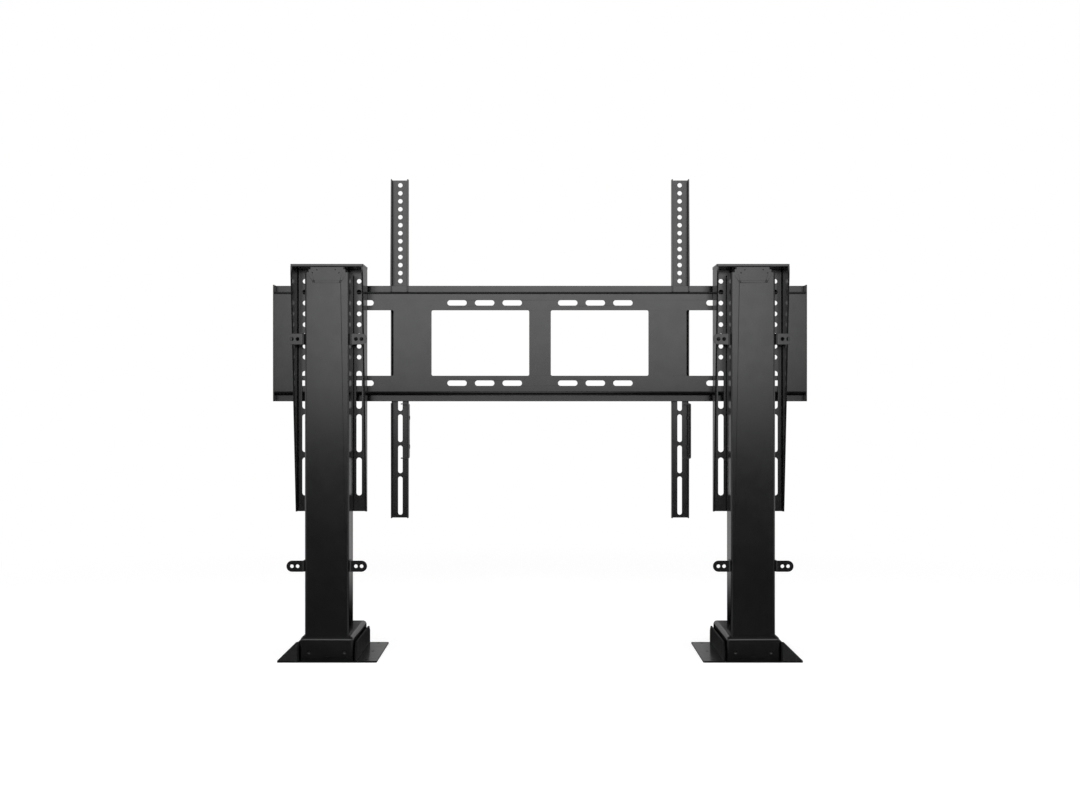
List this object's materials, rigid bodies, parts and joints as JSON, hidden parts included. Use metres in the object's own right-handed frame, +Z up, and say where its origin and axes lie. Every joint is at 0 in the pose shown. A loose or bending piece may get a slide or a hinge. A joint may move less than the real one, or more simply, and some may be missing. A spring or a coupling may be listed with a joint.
{
  "type": "tv lift mechanism",
  "caption": "Motorised lift on twin telescoping columns with a windowed mounting plate and hook-on screen arms, for raising a screen out of a cabinet.",
  "frame": {"origin": "floor, midway between the two base plates", "axes": "+X across the lift from the left to the right column as seen from behind, +Y from the wall side to the screen side, +Z up"},
  "size_m": [0.987, 0.22, 0.886],
  "materials": {
    "black_sheet": "satin black powder coat",
    "black_tube": "satin black powder coat",
    "black_fastener": "black oxide",
    "bright_steel": "ground",
    "brass": "turned",
    "nylon": "moulded",
    "cast_alloy": "die cast",
    "motor_can": "smooth",
    "rubber": "moulded"
  },
  "bodies": {
    "base": {"left_base_plate": "black_sheet", "left_side_ears": "black_sheet", "left_foot_cover": "black_sheet", "left_outer_tube": "black_tube", "left_wall_lugs": "black_sheet", "left_outer_head_pads": "nylon", "left_gearbox": "cast_alloy", "left_motor": "motor_can", "left_lower_bearing": "bright_steel", "right_base_plate": "black_sheet", "right_side_ears": "black_sheet", "right_foot_cover": "black_sheet", "right_outer_tube": "black_tube", "right_wall_lugs": "black_sheet", "right_outer_head_pads": "nylon", "right_gearbox": "cast_alloy", "right_motor": "motor_can", "right_lower_bearing": "bright_steel", "cover_screws": "black_fastener", "guide_screws": "black_fastener", "cable_grommets": "rubber"},
    "upper": {"left_inner_tube": "black_tube", "left_inner_foot_pads": "nylon", "left_nut_block": "nylon", "left_upper_nut": "brass", "left_top_plate": "black_sheet", "left_carriage": "black_sheet", "right_inner_tube": "black_tube", "right_inner_foot_pads": "nylon", "right_nut_block": "nylon", "right_upper_nut": "brass", "right_top_plate": "black_sheet", "right_carriage": "black_sheet", "carriage_bolts": "black_fastener", "flange_nuts": "black_fastener", "mounting_plate": "black_sheet", "end_plates": "black_sheet"},
    "left_middle": {"left_middle_tube": "black_tube", "left_middle_foot_pads": "nylon", "left_middle_head_pads": "nylon", "left_nut_carrier": "cast_alloy", "left_lower_nut": "brass", "left_upper_bearing": "bright_steel"},
    "left_lower_screw": {"left_lower_spindle": "bright_steel"},
    "left_upper_screw": {"left_upper_spindle": "bright_steel"},
    "left_screen_arm": {"left_arm": "black_sheet", "left_arm_rivets": "black_fastener"},
    "left_safety_latch": {"left_latch": "black_sheet"},
    "right_middle": {"right_middle_tube": "black_tube", "right_middle_foot_pads": "nylon", "right_middle_head_pads": "nylon", "right_nut_carrier": "cast_alloy", "right_lower_nut": "brass", "right_upper_bearing": "bright_steel"},
    "right_lower_screw": {"right_lower_spindle": "bright_steel"},
    "right_upper_screw": {"right_upper_spindle": "bright_steel"},
    "right_screen_arm": {"right_arm": "black_sheet", "right_arm_rivets": "black_fastener"},
    "right_safety_latch": {"right_latch": "black_sheet"}
  },
  "joints": [
    {"name": "left_middle_slide", "type": "slide", "parent": "base", "child": "left_middle", "axis": [0, 0, 1], "range_m": [0, 0.45]},
    {"name": "right_middle_slide", "type": "slide", "parent": "base", "child": "right_middle", "axis": [0, 0, 1], "range_m": [0, 0.45]},
    {"name": "carriage_slide", "type": "slide", "parent": "left_middle", "child": "upper", "axis": [0, 0, 1], "range_m": [0, 0.45]},
    {"name": "left_lower_screw_turn", "type": "hinge", "parent": "base", "child": "left_lower_screw", "pos_m": [-0.384, -0.077, 0], "axis": [0, 0, 1], "range_deg": [-16200, 0]},
    {"name": "left_upper_screw_turn", "type": "hinge", "parent": "left_middle", "child": "left_upper_screw", "pos_m": [-0.384, -0.077, 0], "axis": [0, 0, 1], "range_deg": [-16200, 0]},
    {"name": "right_lower_screw_turn", "type": "hinge", "parent": "base", "child": "right_lower_screw", "pos_m": [0.384, -0.077, 0], "axis": [0, 0, 1], "range_deg": [-16200, 0]},
    {"name": "right_upper_screw_turn", "type": "hinge", "parent": "right_middle", "child": "right_upper_screw", "pos_m": [0.384, -0.077, 0], "axis": [0, 0, 1], "range_deg": [-16200, 0]},
    {"name": "left_arm_slide", "type": "slide", "parent": "upper", "child": "left_screen_arm", "axis": [-1, 0, 0], "range_m": [-0.2, 0.2]},
    {"name": "left_latch_slide", "type": "slide", "parent": "left_screen_arm", "child": "left_safety_latch", "axis": [0, 0, -1], "range_m": [0, 0.012]},
    {"name": "right_arm_slide", "type": "slide", "parent": "upper", "child": "right_screen_arm", "axis": [1, 0, 0], "range_m": [-0.2, 0.2]},
    {"name": "right_latch_slide", "type": "slide", "parent": "right_screen_arm", "child": "right_safety_latch", "axis": [0, 0, -1], "range_m": [0, 0.012]}
  ],
  "couplings": [
    {"joint": "right_middle_slide", "follows": "left_middle_slide", "ratio": 1},
    {"joint": "carriage_slide", "follows": "left_middle_slide", "ratio": 1},
    {"joint": "left_lower_screw_turn", "follows": "left_middle_slide", "rad_per_m": -628.32},
    {"joint": "left_upper_screw_turn", "follows": "left_middle_slide", "rad_per_m": -628.32},
    {"joint": "right_lower_screw_turn", "follows": "left_middle_slide", "rad_per_m": -628.32},
    {"joint": "right_upper_screw_turn", "follows": "left_middle_slide", "rad_per_m": -628.32}
  ]
}
